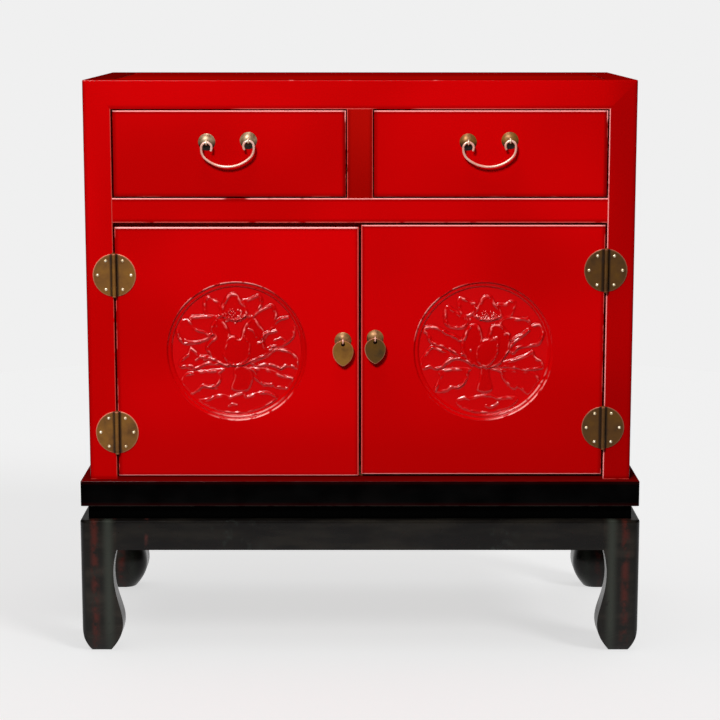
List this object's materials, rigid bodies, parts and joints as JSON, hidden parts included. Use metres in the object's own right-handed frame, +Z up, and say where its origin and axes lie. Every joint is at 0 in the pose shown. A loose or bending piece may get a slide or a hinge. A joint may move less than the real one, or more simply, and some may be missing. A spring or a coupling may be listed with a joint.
{
  "type": "wedding cabinet",
  "caption": "Low red lacquered wedding cabinet: drawers with bail handles over round-hinged doors carved with lotus medallions, on a black stand with curved legs.",
  "frame": {"origin": "on the floor, under the middle of the stand", "axes": "+Z up, -Y towards the front with the doors and drawers, +X to the right as seen from the front"},
  "size_m": [0.936, 0.45, 0.956],
  "materials": {
    "red_lacquer": "polished red lacquer, rubbed through at the arrises",
    "door_red_lacquer": "polished red lacquer over carving, rubbed through at the arrises",
    "dark_red_lacquer": "polished darker red lacquer",
    "black_lacquer": "polished black lacquer, worn to brown at the corners",
    "bare_elm": "bare planed wood, darkened with age",
    "aged_brass": "aged brass with a brown patina",
    "worn_brass": "brass rubbed bright by use"
  },
  "bodies": {
    "cabinet": {"apron_front": "black_lacquer", "apron_left": "black_lacquer", "apron_rear": "black_lacquer", "apron_right": "black_lacquer", "back_panel": "bare_elm", "bottom_board": "bare_elm", "drawer_divider": "red_lacquer", "drawer_guides": "bare_elm", "dust_board": "bare_elm", "hinge_leaves_case": "aged_brass", "hinge_pins": "worn_brass", "leg_front_left": "black_lacquer", "leg_front_right": "black_lacquer", "leg_rear_left": "black_lacquer", "leg_rear_right": "black_lacquer", "mid_rail": "red_lacquer", "nails_case": "worn_brass", "post_front_left": "red_lacquer", "post_front_right": "red_lacquer", "post_rear_left": "red_lacquer", "post_rear_right": "red_lacquer", "shelf": "bare_elm", "shelf_cleats": "bare_elm", "side_panel_left": "red_lacquer", "side_panel_right": "red_lacquer", "slab_rail_front": "black_lacquer", "slab_rail_left": "black_lacquer", "slab_rail_rear": "black_lacquer", "slab_rail_right": "black_lacquer", "top_panel": "dark_red_lacquer", "top_rail_front": "dark_red_lacquer", "top_rail_left": "dark_red_lacquer", "top_rail_rear": "dark_red_lacquer", "top_rail_right": "dark_red_lacquer"},
    "door_left": {"door_left": "door_red_lacquer", "door_left_battens": "bare_elm", "hinge_leaves_door_left": "aged_brass", "nails_door_left": "worn_brass", "pull_rosette_left": "aged_brass", "pull_eye_left": "worn_brass"},
    "pendant_left": {"pendant_left": "aged_brass"},
    "drawer_left": {"drawer_left_front": "red_lacquer", "drawer_left_sides": "bare_elm", "drawer_left_back": "bare_elm", "drawer_left_bottom": "bare_elm", "bail_mounts_left": "aged_brass"},
    "bail_left": {"bail_left": "worn_brass"},
    "door_right": {"door_right": "door_red_lacquer", "door_right_battens": "bare_elm", "hinge_leaves_door_right": "aged_brass", "nails_door_right": "worn_brass", "pull_rosette_right": "aged_brass", "pull_eye_right": "worn_brass"},
    "pendant_right": {"pendant_right": "aged_brass"},
    "drawer_right": {"drawer_right_front": "red_lacquer", "drawer_right_sides": "bare_elm", "drawer_right_back": "bare_elm", "drawer_right_bottom": "bare_elm", "bail_mounts_right": "aged_brass"},
    "bail_right": {"bail_right": "worn_brass"}
  },
  "joints": [
    {"name": "door_left_hinge", "type": "hinge", "parent": "cabinet", "child": "door_left", "pos_m": [-0.4035, -0.2143, 0.51], "axis": [0, 0, -1], "range_deg": [0, 170]},
    {"name": "pendant_left_swing", "type": "hinge", "parent": "door_left", "child": "pendant_left", "pos_m": [-0.028, -0.22, 0.529], "axis": [-1, 0, 0], "range_deg": [-10, 150]},
    {"name": "drawer_left_slide", "type": "slide", "parent": "cabinet", "child": "drawer_left", "axis": [0, -1, 0], "range_m": [0, 0.28]},
    {"name": "bail_left_swing", "type": "hinge", "parent": "drawer_left", "child": "bail_left", "pos_m": [-0.2153, -0.22, 0.85695], "axis": [-0.9993, 0, -0.0366], "range_deg": [-8, 150]},
    {"name": "door_right_hinge", "type": "hinge", "parent": "cabinet", "child": "door_right", "pos_m": [0.4035, -0.2143, 0.51], "axis": [0, 0, 1], "range_deg": [0, 170]},
    {"name": "pendant_right_swing", "type": "hinge", "parent": "door_right", "child": "pendant_right", "pos_m": [0.025, -0.22, 0.533], "axis": [-1, 0, 0], "range_deg": [-10, 150]},
    {"name": "drawer_right_slide", "type": "slide", "parent": "cabinet", "child": "drawer_right", "axis": [0, -1, 0], "range_m": [0, 0.28]},
    {"name": "bail_right_swing", "type": "hinge", "parent": "drawer_right", "child": "bail_right", "pos_m": [0.2099, -0.22, 0.85695], "axis": [-0.9993, 0, -0.0366], "range_deg": [-8, 150]}
  ]
}
